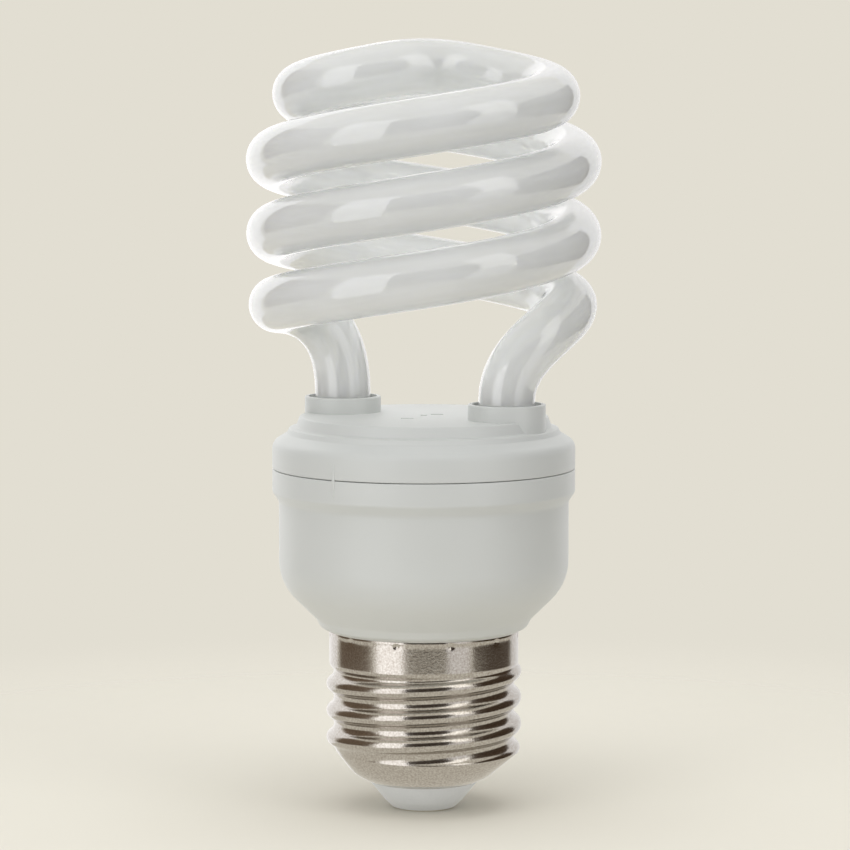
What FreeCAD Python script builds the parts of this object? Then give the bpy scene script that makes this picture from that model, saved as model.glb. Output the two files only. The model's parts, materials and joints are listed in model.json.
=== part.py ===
import FreeCAD, Part
import math
import os

# Spiral energy saving lamp on an E27 screw cap, in millimetres.
# The lamp's axis is Z, and Z = 0 is the underside of the centre contact.

V = FreeCAD.Vector
UP = V(0, 0, 1)

# Screw cap and tip, from the contact upwards
contact_r = 4.0
contact_t = 0.5
contact_proud = 0.15        # how far the contact stands below the tip
tip_h = 3.7                 # pale tip, contact to the edge of the metal
tip_r = 7.4                 # where the tip leaves the metal
tip_land = 0.3              # flat of the tip round the contact
tip_bevel_w = 2.1           # where the tip's rounding is steepest, in from its edge and up from the contact
tip_bevel_z = 1.1
tip_plug_h = 4.2            # stretch of the tip held inside the cap
nose_h = 4.0                # rounded metal end below the thread
nose_inset = 0.7            # nose to the thread's mean surface
nose_taper = 1.5            # how far the nose closes in on each of its two flanks
nose_turn_h = 1.0           # edge of the metal to the foot of the flanks
thread_h = 12.2
thread_pitch = 3.629        # E27, right hand
thread_crest_r = 13.1
thread_root_r = 12.1
thread_start = 0.05         # height of the first crest on the +X side, above the nose
thread_fade = 1.3           # run-in and run-out of the thread
thread_stations = 6         # sections in each turn of the thread
skirt_h = 4.3               # plain rim above the thread
skirt_r = 12.7
cap_wall = 0.5
stake_count = 11
stake_drop = 0.65           # rim to the middle of a staked dimple
stake_r = 0.4
stake_depth = 0.2

# Lower housing
neck_gap = 0.1              # neck to the inside of the cap
neck_wall = 1.2
neck_end_gap = 0.2          # neck to the cap's inner shoulder
notch_w = 2.4               # slot in the neck for the neutral lead
notch_h = 2.0
cup_h = 21.8                # cap rim to the seam
lip_h = 1.6
lip_r = 14.5
lip_step = 0.2              # overhang of the lip beyond the cap's rim
lip_edge_w = 0.6            # rounding of the lip's lower edge, inwards and downwards
lip_edge_h = 1.1
bowl_r = 19.4
bowl_bend_r = 7.1
bowl_slope = 45.5           # degrees between the bowl's flank and the axis
housing_wall = 1.4
flange_step = 0.86          # flange beyond the bowl
flange_h = 3.1
flange_bevel_h = 1.3
seam_edge = 0.2             # small bevels that show the seam
tick_angle = -125.4         # moulded tick on the flange, degrees from +X
tick_w = 0.5
tick_depth = 0.25

# Cover over the ballast, with the two collars for the tube's legs
cover_rim_h = 3.5
cover_h = 6.95
shoulder_bulge = 0.3
plateau_inset = 3.66        # plateau's edge, in from the flange
riser_w = 0.5               # flank of the plateau
riser_h = 1.45
ledge_w = 0.9               # ledge at the foot of the flank
ledge_fall = 0.15
step_w = 0.3                # low step from the ledge to the shoulder
step_h = 0.65
cover_top_t = 1.6
cover_inner_bevel = 1.6
skirt_gap = 0.1             # cover's skirt to the cup's mouth
skirt_wall = 1.3
collar_wall = 0.55
collar_h = 2.1
collar_edge = 0.15
gate_r = 0.45               # moulding gate in the middle of the plateau
gate_h = 0.12

# Glass tube
tube_d = 7.5
turn_gap = 2.3              # space between neighbouring turns, along the axis
spiral_r = 19.85            # tube's centre line
leg_clear = 1.13            # leg to the inside of the cover's skirt
leg_angle = -29.5           # first leg, degrees from +X
leg_above = 2.7             # straight leg above the plateau
spiral_lift = 11.75         # top of the straight legs to the start of the helix
bend_angle = 20.0           # helix angle where a leg's bend runs into it
first_leg_pull = 7.8        # how far each leg's bend follows the leg
second_leg_pull = 14.3
bend_helix_pull = 11.5      # how far a bend follows the helix
taper_angle = 496.0         # helix angle where the top turn starts to close in
crown_angle = 573.0         # helix angle at which a strand meets the axis
crown_climb = 1.22          # slope of the top turn for each unit of the helix's slope
level_run = 6.6             # length in which a strand levels out at the axis
line_steps = 1200           # steps in which the centre line is walked along
section_turn = 15.0         # turn of the centre line from one section of the tube to the next
leg_tail = 2.75             # leg below the plateau's top, down to its rounded end
seal_w = 6.4                # flat pinch at the end of a leg
seal_t = 2.0
seal_drop = 4.6
cement_gap = 0.05
cement_room = 0.85          # leg to the collar's bore
cement_recess = 1.45        # collar rim to the cement

# Ballast board and its parts
board_t = 1.2
board_gap = 0.3
board_drop = 4.0            # seam to the ledge that carries the board
part_clear = 1.0            # parts to the bowl's wall
flank_clear = 0.9           # parts' lower corners to the bowl's flank
pin_w = 0.64
pin_hole_r = 0.5
pin_up = 2.4
pin_inset = 1.66            # post to the inside of the cover's skirt
lead_d = 0.5
lead_spread = 2.0           # half the distance between a leg's two leads
lead_bend_r = 0.8
lead_drop = 1.1             # seal to the level run of a lead
wire_d = 1.2
wire_gap = 0.1

capacitor_d = 10.0
capacitor_h = 16.0
capacitor_neck_clear = 0.8
capacitor_crimp = 0.5
capacitor_crimp_drop = 2.2

choke_w = 13.0              # E core, along the bobbin's base
choke_t = 6.0
choke_h = 10.0
choke_post_w = 3.6
choke_yoke = 1.7
choke_window = 3.2
bobbin_base_t = 0.8
bobbin_w = 10.6
bobbin_wall = 0.45
bobbin_fit = 0.05

toroid_r = 4.0
toroid_hole_r = 2.1
toroid_t = 3.0
toroid_wire = 0.5
toroid_coil_span = 46.0
toroid_coil_places = (0.0, 180.0, 270.0)

spool_r = 3.0
spool_core_r = 1.6
spool_h = 7.5
spool_rim = 0.9
spool_fit = 0.05

film_edge = 0.6
resonant_size = (4.5, 10.0, 8.0)      # across, along and down from the board
blocking_size = (4.0, 8.0, 7.0)
transistor_t = 2.7
transistor_w = 7.6
transistor_h = 8.6
transistor_hole_r = 1.5
transistor_hole_drop = 6.2  # top of the body to its fixing hole
transistor_pin_t = 0.5
transistor_pin_w = 0.7
transistor_pin_h = 2.2      # body to the board
transistor_pin_step = 2.3

diode_size = (2.6, 4.4, 2.1)
diode_step = (4.2, 6.4)
resistor_size = (1.6, 3.2, 0.6)
resistor_step = 2.6
resistor_row = 6.6

diac_d = 1.9
diac_l = 3.8
fuse_d = 3.2
fuse_l = 7.0
axial_lift = 0.6            # axial parts below the board
axial_lead = 1.0            # lead beyond the body, before it turns to the board

# Places round the board, degrees from +X
resonant_angle = -36.0
blocking_angle = -81.0
fuse_angle = 12.0
spool_angle = 42.0
transistor_angles = {"upper_transistor": 75.0, "lower_transistor": 113.0}
diac_angle = 141.0
choke_angle = 180.0
toroid_angle = -122.0
phase_start = (-2.2, -2.0)
neutral_angle = -97.0
neutral_r = 8.0

# Levels and radii that follow from the sizes above
nose_z = tip_h
thread_z = nose_z + nose_h
skirt_z = thread_z + thread_h
rim_z = skirt_z + skirt_h
lip_z = rim_z + lip_h
seam_z = rim_z + cup_h
plateau_z = seam_z + cover_h
collar_z = plateau_z + collar_h
bend_z = plateau_z + leg_above
helix_z = bend_z + spiral_lift
leg_end_z = plateau_z - leg_tail
seal_z = leg_end_z - seal_drop
board_z = seam_z - board_drop
board_top_z = board_z + board_t

thread_mean_r = (thread_crest_r + thread_root_r) / 2
thread_throw = (thread_crest_r - thread_root_r) / 2
cap_bore_r = skirt_r - cap_wall
neck_r = cap_bore_r - neck_gap
neck_bore_r = neck_r - neck_wall
neck_z = skirt_z + cap_wall + neck_end_gap
flange_r = bowl_r + flange_step
plateau_r = flange_r - plateau_inset
mouth_r = flange_r - housing_wall
cover_skirt_r = mouth_r - skirt_gap
cover_bore_r = cover_skirt_r - skirt_wall
bowl_bore_r = bowl_r - housing_wall
tube_r = tube_d / 2
spiral_pitch = 2 * (tube_d + turn_gap)
leg_r = cover_bore_r - leg_clear - tube_r
leg_x = leg_r * math.cos(math.radians(leg_angle))
leg_y = leg_r * math.sin(math.radians(leg_angle))
collar_bore_r = tube_r + cement_room
collar_r = collar_bore_r + collar_wall
pin_r = cover_bore_r - pin_inset
part_reach = bowl_bore_r - part_clear


def turned(start, *steps):
    """A solid of revolution. A step is the next point, or the middle and the end of an arc."""
    edges = []
    here = V(start[0], 0, start[1])
    for step in steps + (start,):
        if isinstance(step[0], tuple):
            middle, end = (V(r, 0, z) for r, z in step)
            edges.append(Part.Arc(here, middle, end).toShape())
        else:
            end = V(step[0], 0, step[1])
            edges.append(Part.LineSegment(here, end).toShape())
        here = end
    return Part.Face(Part.Wire(edges)).revolve(V(0, 0, 0), UP, 360)


def bulged(a, b, bulge):
    """The arc step from a to b, standing off its chord by bulge, to the right of the way from a to b."""
    length = math.hypot(b[0] - a[0], b[1] - a[1])
    middle_r = (a[0] + b[0]) / 2 + bulge * (b[1] - a[1]) / length
    middle_z = (a[1] + b[1]) / 2 - bulge * (b[0] - a[0]) / length
    return (middle_r, middle_z), b


def block(across, along, low_z, high_z, x=0.0, y=0.0):
    """A box centred on x and y between two levels."""
    return Part.makeBox(across, along, high_z - low_z, V(x - across / 2, y - along / 2, low_z))


def round_bar(radius, low_z, high_z, x=0.0, y=0.0):
    return Part.makeCylinder(radius, high_z - low_z, V(x, y, low_z))


def around(shape, radius, angle):
    """A copy of a shape drawn at the axis, moved out along +X and turned about the axis."""
    placed = shape.copy()
    placed.translate(V(radius, 0, 0))
    placed.rotate(V(0, 0, 0), UP, angle)
    return placed


def reach_at(low_z):
    """How far out a part may reach that hangs down to a level, clear of the bowl's wall and flank."""
    slope = math.radians(bowl_slope)
    flank_r = lip_r + (low_z - lip_z) * math.tan(slope) - housing_wall / math.cos(slope)
    return min(part_reach, flank_r - flank_clear)


def seat_radius(across, along, low_z):
    """Where a block's middle goes so that its outer corners lie on the parts' reach."""
    return math.sqrt(reach_at(low_z) ** 2 - (along / 2) ** 2) - across / 2


def wire_tube(points, radius, bend_r):
    """A thin wire of six sides through points, bent to one radius at each corner."""
    edges = []
    here = points[0]
    for before, corner, after in zip(points, points[1:], points[2:]):
        way_in = (corner - before).normalize()
        way_out = (after - corner).normalize()
        turn = way_in.getAngle(way_out)
        setback = bend_r * math.tan(turn / 2)
        start = corner - way_in * setback
        end = corner + way_out * setback
        inward = (way_out - way_in).normalize()
        middle = corner + inward * (bend_r / math.cos(turn / 2) - bend_r)
        edges.append(Part.LineSegment(here, start).toShape())
        edges.append(Part.Arc(start, middle, end).toShape())
        here = end
    edges.append(Part.LineSegment(here, points[-1]).toShape())
    heading = (points[1] - points[0]).normalize()
    across = heading.cross(points[2] - points[1]).normalize() * radius
    corners = [points[0] + FreeCAD.Rotation(heading, 60 * corner).multVec(across) for corner in range(7)]
    return Part.Wire(edges).makePipeShell([Part.makePolygon(corners)], True, False)


# Glass tube: two strands wound as one double helix, joined over the top

def helix_point(angle):
    turn = math.radians(angle)
    climb = spiral_pitch * angle / 360
    return V(spiral_r * math.cos(turn), spiral_r * math.sin(turn), helix_z + climb)


def bend_points(count, leg_pull):
    """The bend from a leg into the helix, a cubic curve tangent to both."""
    start = V(leg_x, leg_y, bend_z)
    end = helix_point(bend_angle)
    turn = math.radians(bend_angle)
    heading = V(-spiral_r * math.sin(turn), spiral_r * math.cos(turn), spiral_pitch / (2 * math.pi))
    bend = Part.BezierCurve()
    bend.setPoles([start, start + UP * leg_pull, end - heading.normalize() * bend_helix_pull, end])
    return [bend.value(step / count) for step in range(count)]


def crown_points(count):
    """The top of a strand, which turns in to the axis and climbs on until it levels out there."""
    plan = []
    for step in range(count + 1):
        share = step / count
        turn = math.radians(taper_angle + (crown_angle - taper_angle) * share)
        radius = spiral_r * math.cos(math.pi / 2 * share)
        plan.append(V(radius * math.cos(turn), radius * math.sin(turn), 0))
    lengths = [0.0]
    for here, ahead in zip(plan, plan[1:]):
        lengths.append(lengths[-1] + here.distanceToPoint(ahead))
    foot_z = helix_point(taper_angle).z
    slope = crown_climb * spiral_pitch / (2 * math.pi * spiral_r)
    points = []
    for place, length in zip(plan, lengths):
        past = max(0.0, length - lengths[-1] + level_run)
        points.append(place + UP * (foot_z + slope * (length - past ** 2 / (2 * level_run))))
    return points[1:]


def strand_points(leg_pull):
    count = math.ceil((taper_angle - bend_angle) / section_turn)
    climb = [helix_point(bend_angle + (taper_angle - bend_angle) * i / count) for i in range(count + 1)]
    return bend_points(6, leg_pull) + climb + crown_points(12)


def leg_seal(x, y):
    """The rounded end of a leg, with its flat pinch."""
    pinch = block(seal_t, seal_w, seal_z, leg_end_z)
    pinch.rotate(V(0, 0, 0), UP, leg_angle)
    pinch.translate(V(x, y, 0))
    return Part.makeSphere(tube_r, V(x, y, leg_end_z)).fuse(pinch)


def half_line(leg_pull):
    """The tube's centre line from a foot to the axis, wound from the first leg."""
    foot = V(leg_x, leg_y, leg_end_z)
    strand = strand_points(leg_pull)
    return [foot + (strand[0] - foot) * (step / 3) for step in range(3)] + strand


def centre_line():
    """The centre line from foot to foot. The second strand is wound half a turn round from the first."""
    second = [V(-p.x, -p.y, p.z) for p in half_line(second_leg_pull)]
    curve = Part.BSplineCurve()
    curve.interpolate(half_line(first_leg_pull) + second[-2::-1])
    return curve


def section_places(curve, turn):
    """Places of the tube's sections: at each foot, at each leg's top, and between them at equal turns."""
    leg_top = curve.parameter(V(leg_x, leg_y, bend_z))
    far_leg_top = curve.parameter(V(-leg_x, -leg_y, bend_z))
    places = [leg_top]
    heading = curve.tangent(leg_top)[0]
    for step in range(1, line_steps):
        here = leg_top + (far_leg_top - leg_top) * step / line_steps
        if heading.getAngle(curve.tangent(here)[0]) >= turn:
            places.append(here)
            heading = curve.tangent(here)[0]
    return [curve.FirstParameter] + places + [far_leg_top, curve.LastParameter]


def make_glass_spiral():
    """Round sections along the centre line, each carried on from the last without twist."""
    curve = centre_line()
    sections = []
    side = V(1, 0, 0)
    for place in section_places(curve, math.radians(section_turn)):
        heading = curve.tangent(place)[0]
        side = (side - heading * side.dot(heading)).normalize()
        circle = Part.Circle(curve.value(place), heading, tube_r)
        circle.XAxis = side
        sections.append(Part.Wire([circle.toShape()]))
    tube = Part.makeLoft(sections, True, True)
    return tube.fuse([leg_seal(side * leg_x, side * leg_y) for side in (1, -1)])


def make_leg_cement():
    top_z = collar_z - cement_recess
    low_z = plateau_z - cover_top_t
    ring = round_bar(collar_bore_r - cement_gap, low_z, top_z)
    ring = ring.cut(round_bar(tube_r + cement_gap, low_z, top_z))
    return Part.makeCompound([around(ring, leg_r, leg_angle + turn) for turn in (0, 180)])


# Housing

def make_tube_cover():
    rim_top = (flange_r, seam_z + cover_rim_h)
    riser_foot = (plateau_r + riser_w, plateau_z - riser_h)
    ledge_end = (riser_foot[0] + ledge_w, riser_foot[1] - ledge_fall)
    shoulder_end = (ledge_end[0] + step_w, ledge_end[1] - step_h)
    under_z = plateau_z - cover_top_t
    shell = turned(
        (cover_bore_r, board_top_z), (cover_skirt_r, board_top_z), (cover_skirt_r, seam_z),
        (flange_r - seam_edge, seam_z), (flange_r, seam_z + seam_edge), rim_top,
        bulged(rim_top, shoulder_end, shoulder_bulge), ledge_end, riser_foot, (plateau_r, plateau_z),
        (gate_r, plateau_z), (gate_r, plateau_z + gate_h), (0, plateau_z + gate_h), (0, under_z),
        (cover_bore_r - cover_inner_bevel, under_z), (cover_bore_r, under_z - cover_inner_bevel))
    collar_foot_z = rim_top[1]
    collar = turned(
        (0, collar_foot_z), (collar_r, collar_foot_z), (collar_r, collar_z - collar_edge),
        (collar_r - collar_edge, collar_z), (0, collar_z))
    bore = round_bar(collar_bore_r, board_top_z, collar_z)
    skirt_room = round_bar(cover_bore_r, board_top_z, under_z - cover_inner_bevel)
    for turn in (0, 180):
        post = around(collar, leg_r, leg_angle + turn)
        shell = shell.fuse(post.cut(skirt_room))
    for turn in (0, 180):
        shell = shell.cut(around(bore, leg_r, leg_angle + turn))
    return shell.removeSplitter()


def bowl_bend():
    """Start, middle and end of the bowl's lower bend, from the upright wall down to the flank."""
    slope = math.radians(bowl_slope)
    centre_r = bowl_r - bowl_bend_r
    flank_rise = (centre_r + bowl_bend_r * math.cos(slope) - lip_r) / math.tan(slope)
    centre_z = lip_z + flank_rise + bowl_bend_r * math.sin(slope)
    places = []
    for angle in (0, slope / 2, slope):
        places.append((centre_r + bowl_bend_r * math.cos(angle), centre_z - bowl_bend_r * math.sin(angle)))
    return places


def bowl_bore_z(radius):
    """Height of the inner flank at a radius, one wall inside the outer flank."""
    slope = math.radians(bowl_slope)
    return lip_z + (radius - lip_r) / math.tan(slope) + housing_wall / math.sin(slope)


def make_housing_cup():
    wall_foot, middle, flank_top = bowl_bend()
    bevel_z = seam_z - flange_h
    cup = turned(
        (neck_bore_r, neck_z), (neck_r, neck_z), (neck_r, rim_z), (skirt_r + lip_step, rim_z),
        (lip_r - lip_edge_w, lip_z - lip_edge_h), (lip_r, lip_z), flank_top, (middle, wall_foot),
        (bowl_r, bevel_z - flange_bevel_h), (flange_r, bevel_z), (flange_r, seam_z - seam_edge),
        (flange_r - seam_edge, seam_z), (mouth_r, seam_z), (mouth_r, board_z), (bowl_bore_r, board_z),
        (bowl_bore_r, bowl_bore_z(bowl_bore_r)), (neck_bore_r, bowl_bore_z(neck_bore_r)))
    notch = block(2 * neck_wall + cap_wall, notch_w, neck_z, neck_z + notch_h)
    tick = block(2 * tick_depth, tick_w, bevel_z - flange_bevel_h, seam_z)
    cup = cup.cut(around(notch, (neck_r + neck_bore_r) / 2, neutral_angle))
    return cup.cut(around(tick, flange_r, tick_angle))


# Cap

def thread_core(radius, low_z, high_z):
    """A knuckle thread: a round section that climbs while its middle circles the axis."""
    stations = thread_stations * math.ceil((high_z - low_z) / thread_pitch)
    sections = []
    for station in range(stations + 1):
        z = low_z + (high_z - low_z) * station / stations
        fade = min(1.0, (z - low_z) / thread_fade, (high_z - z) / thread_fade)
        throw = thread_throw * (1 - math.cos(math.pi * fade)) / 2
        turn = 2 * math.pi * (z - thread_z - thread_start) / thread_pitch
        middle = V(throw * math.cos(turn), throw * math.sin(turn), z)
        sections.append(Part.Wire(Part.makeCircle(radius, middle, UP)))
    return Part.makeLoft(sections, True, True)


def nose_points(wall):
    """The rounded end of the cap from the tip's edge up to the thread, moved inwards by a wall."""
    high_r = thread_mean_r - nose_inset - wall
    flank = (high_r - nose_taper, thread_z - nose_h / 2)
    turn = (flank[0] - nose_taper, nose_z + nose_turn_h + wall)
    return [(tip_r, nose_z + wall), turn, flank, (high_r, thread_z)]


def make_screw_cap():
    nose = turned((0, nose_z), *nose_points(0), (0, thread_z))
    skirt = turned((0, skirt_z), (skirt_r, skirt_z), (skirt_r, rim_z), (0, rim_z))
    outside = thread_core(thread_mean_r, thread_z, skirt_z).fuse([nose, skirt])
    thread_bore_r = thread_root_r - cap_wall
    thread_bore = turned(
        (0, nose_z + cap_wall), *nose_points(cap_wall)[:3], (thread_bore_r, thread_z),
        (thread_bore_r, skirt_z - cap_wall), (0, skirt_z - cap_wall))
    shoulder_bore = round_bar(min(thread_bore_r, cap_bore_r), skirt_z - cap_wall, skirt_z + cap_wall)
    rim_bore = round_bar(cap_bore_r, skirt_z + cap_wall, rim_z)
    tip_hole = round_bar(tip_r, nose_z, thread_z)
    cap = outside.cut([thread_bore, shoulder_bore, rim_bore, tip_hole])
    dimple = Part.makeCylinder(stake_r, 2 * stake_depth, V(skirt_r - stake_depth, 0, 0), V(1, 0, 0))
    dimple.translate(V(0, 0, rim_z - stake_drop))
    for index in range(stake_count):
        cap = cap.cut(around(dimple, 0, 360 * (index + 0.5) / stake_count - 90))
    return cap


def make_cap_insulator():
    bore_r = wire_d / 2 + wire_gap
    plug_z = nose_z + tip_plug_h
    seat_z = nose_z + cap_wall
    shoulder_r = tip_r + cap_wall
    plug_r = nose_points(cap_wall)[2][0] - cap_wall
    return turned(
        (bore_r, contact_t), (contact_r, contact_t), (contact_r, contact_proud),
        (contact_r + tip_land, contact_proud), (tip_r - tip_bevel_w, tip_bevel_z), (tip_r, nose_z),
        (tip_r, seat_z), (shoulder_r, seat_z + cap_wall), (plug_r, plug_z), (bore_r, plug_z))


def make_centre_contact():
    edge = contact_proud
    return turned((0, 0), (contact_r - wire_gap - edge, 0), (contact_r - wire_gap, edge),
                  (contact_r - wire_gap, contact_t), (0, contact_t))


# Ballast board and the posts for the tube's leads

def pin_places():
    """Each lead's leg and post, as distances out from and across the leg's own radius."""
    return [(leg_angle + turn, side * lead_spread) for turn in (0, 180) for side in (-1, 1)]


def make_ballast_board():
    board = round_bar(mouth_r - board_gap, board_z, board_top_z)
    for angle, offset in pin_places():
        board = board.cut(around(round_bar(pin_hole_r, board_z, board_top_z, 0, offset), pin_r, angle))
    return board


def make_wrap_pins():
    pins = []
    for angle, offset in pin_places():
        pin = block(pin_w, pin_w, board_z, board_top_z + pin_up, 0, offset)
        pins.append(around(pin, pin_r, angle))
    return Part.makeCompound(pins)


def make_electrode_leads():
    leads = []
    level_z = seal_z - lead_drop
    for angle, offset in pin_places():
        route = [V(leg_r, offset, seal_z), V(leg_r, offset, level_z), V(pin_r - pin_w / 2, offset, level_z)]
        leads.append(around(wire_tube(route, lead_d / 2, lead_bend_r), 0, angle))
    return Part.makeCompound(leads)


def make_phase_lead():
    x, y = phase_start
    turn_z = rim_z
    axis_z = nose_z + tip_plug_h + wire_d
    route = [V(x, y, board_z), V(x, y, turn_z), V(0, 0, axis_z), V(0, 0, contact_t)]
    return wire_tube(route, wire_d / 2, 3 * wire_d)


def make_neutral_lead():
    level_z = neck_z + notch_h / 2
    end_r = cap_bore_r - wire_gap
    route = [V(neutral_r, 0, board_z), V(neutral_r, 0, level_z), V(end_r, 0, level_z)]
    return around(wire_tube(route, wire_d / 2, 2 * wire_d), 0, neutral_angle)


# Parts that hang under the board

def make_choke():
    """The E core pair, its bobbin and its winding, all seated on the board."""
    top_z = board_z - bobbin_base_t
    low_z = top_z - choke_h
    window_top = top_z - choke_yoke
    window_low = low_z + choke_yoke
    window_y = choke_post_w / 2 + choke_window / 2
    core = block(choke_t, choke_w, low_z, top_z)
    for side in (-1, 1):
        core = core.cut(block(choke_t, choke_window, window_low, window_top, 0, side * window_y))
    sleeve_x = choke_t + 2 * (bobbin_fit + bobbin_wall)
    sleeve_y = choke_post_w + 2 * (bobbin_fit + bobbin_wall)
    flange_y = choke_post_w + 2 * (choke_window - bobbin_fit)
    bobbin = block(sleeve_x, sleeve_y, window_low + bobbin_fit, window_top - bobbin_fit)
    flange_low = window_low + bobbin_fit
    flange_high = window_top - bobbin_fit - bobbin_wall
    for z in (flange_low, flange_high):
        bobbin = bobbin.fuse(block(bobbin_w, flange_y, z, z + bobbin_wall))
    base = block(bobbin_w, choke_w, top_z, board_z)
    web_t = (bobbin_w - choke_t) / 2 - bobbin_fit
    for side in (-1, 1):
        web_x = side * (bobbin_w - web_t) / 2
        base = base.fuse(block(web_t, choke_post_w, flange_high, top_z, web_x))
    room = block(choke_t + 2 * bobbin_fit, choke_post_w + 2 * bobbin_fit, window_low, window_top)
    bobbin = bobbin.cut(room).fuse(base)
    coil_low = flange_low + bobbin_wall + bobbin_fit
    coil_high = flange_high - bobbin_fit
    coil = block(bobbin_w - 2 * bobbin_wall, flange_y - 2 * bobbin_wall, coil_low, coil_high)
    upright = [e for e in coil.Edges if abs(e.tangentAt(e.FirstParameter).z) > 0.9]
    coil = coil.makeFillet(choke_window / 3, upright)
    coil = coil.cut(block(sleeve_x + 2 * bobbin_fit, sleeve_y + 2 * bobbin_fit, coil_low, coil_high))
    radius = seat_radius(bobbin_w, choke_w, low_z)
    shapes = {"choke_core": core, "choke_bobbin": bobbin.removeSplitter(), "choke_winding": coil}
    return {name: around(shape, radius, choke_angle) for name, shape in shapes.items()}


def make_filter_capacitor():
    radius = capacitor_d / 2
    low_z = board_z - capacitor_h
    edge = capacitor_crimp
    crimp_z = board_z - capacitor_crimp_drop
    can = turned(
        (0, low_z), (radius - edge, low_z), (radius, low_z + edge), (radius, crimp_z - edge),
        (radius - edge, crimp_z), (radius, crimp_z + edge), (radius, board_z), (0, board_z))
    can.translate(V(neck_bore_r - capacitor_neck_clear - radius, 0, 0))
    return can


def film_capacitor(size, angle):
    across, along, down = size
    low_z = board_z - down
    body = block(across, along, low_z, board_z)
    corners = [e for e in body.Edges if e.CenterOfMass.z < board_z - film_edge / 2]
    return around(body.makeChamfer(film_edge, corners), seat_radius(across, along, low_z), angle)


def make_transistor(angle):
    top_z = board_z - transistor_pin_h
    low_z = top_z - transistor_h
    half_t = transistor_t / 2
    body = block(transistor_t, transistor_w, low_z, top_z)
    hole_start = V(-half_t, 0, top_z - transistor_hole_drop)
    body = body.cut(Part.makeCylinder(transistor_hole_r, transistor_t, hole_start, V(1, 0, 0)))
    for index in (-1, 0, 1):
        y = index * transistor_pin_step
        body = body.fuse(block(transistor_pin_t, transistor_pin_w, top_z, board_z, 0, y))
    return around(body.removeSplitter(), seat_radius(transistor_t, transistor_w, low_z), angle)


def ring_sector(inner_r, outer_r, thickness, span, middle):
    """A stretch of a flat ring about the X axis."""
    face = Part.Face(Part.makePolygon([
        V(-thickness / 2, inner_r, 0), V(thickness / 2, inner_r, 0), V(thickness / 2, outer_r, 0),
        V(-thickness / 2, outer_r, 0), V(-thickness / 2, inner_r, 0)]))
    sector = face.revolve(V(0, 0, 0), V(1, 0, 0), span)
    sector.rotate(V(0, 0, 0), V(1, 0, 0), middle - span / 2)
    return sector


def make_toroid():
    """The drive transformer: an upright ring core with three windings."""
    core = ring_sector(toroid_hole_r, toroid_r, toroid_t, 360, 0)
    room_hole_r = toroid_hole_r - bobbin_fit
    room_r = toroid_r + bobbin_fit
    room_t = toroid_t + 2 * bobbin_fit
    room = ring_sector(room_hole_r, room_r, room_t, 360, 0)
    coil_r = room_r + toroid_wire
    coil_t = room_t + 2 * toroid_wire
    coils = []
    for middle in toroid_coil_places:
        coil = ring_sector(room_hole_r - toroid_wire, coil_r, coil_t, toroid_coil_span, middle)
        coils.append(coil.cut(room))
    middle_z = board_z - room_r
    radius = seat_radius(coil_t, 2 * coil_r, middle_z - coil_r)
    shapes = {"toroid_core": core, "toroid_windings": Part.makeCompound(coils)}
    drop = V(0, 0, middle_z)
    placed = {}
    for name, shape in shapes.items():
        shape.translate(drop)
        placed[name] = around(shape, radius, toroid_angle)
    return placed


def make_filter_choke():
    low_z = board_z - spool_h
    core = turned(
        (0, low_z), (spool_r, low_z), (spool_r, low_z + spool_rim), (spool_core_r, low_z + spool_rim),
        (spool_core_r, board_z - spool_rim), (spool_r, board_z - spool_rim), (spool_r, board_z), (0, board_z))
    coil_low = low_z + spool_rim + spool_fit
    coil_high = board_z - spool_rim - spool_fit
    coil_r = spool_r - spool_fit
    coil = round_bar(coil_r, coil_low, coil_high)
    coil = coil.cut(round_bar(spool_core_r + spool_fit, coil_low, coil_high))
    radius = reach_at(low_z) - spool_r
    return {"filter_choke_core": around(core, radius, spool_angle),
            "filter_choke_winding": around(coil, radius, spool_angle)}


def axial_part(diameter, length, angle):
    """A small round part that lies under the board on its two bent leads."""
    low_z = board_z - axial_lift - diameter
    middle_z = low_z + diameter / 2
    body = Part.makeCylinder(diameter / 2, length, V(0, -length / 2, middle_z), V(0, 1, 0))
    reach = length / 2 + axial_lead
    for side in (-1, 1):
        route = [V(0, side * length / 2, middle_z), V(0, side * reach, middle_z), V(0, side * reach, board_z)]
        body = body.fuse(wire_tube(route, lead_d / 2, lead_d))
    return around(body, seat_radius(diameter, 2 * reach + lead_d, low_z), angle)


# Small parts on the board's upper face

def make_rectifier_diodes():
    across, along, up = diode_size
    step_x, step_y = diode_step
    diodes = []
    for x in (-step_x / 2, step_x / 2):
        for y in (-step_y / 2, step_y / 2):
            diodes.append(block(across, along, board_top_z, board_top_z + up, x, y))
    return Part.makeCompound(diodes)


def make_chip_resistors():
    across, along, up = resistor_size
    chips = []
    for side in (-1, 1):
        for index in (-1, 0, 1):
            x = index * resistor_step
            y = side * (diode_step[1] / 2 + resistor_row)
            chips.append(block(across, along, board_top_z, board_top_z + up, x, y))
    return Part.makeCompound(chips)


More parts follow.
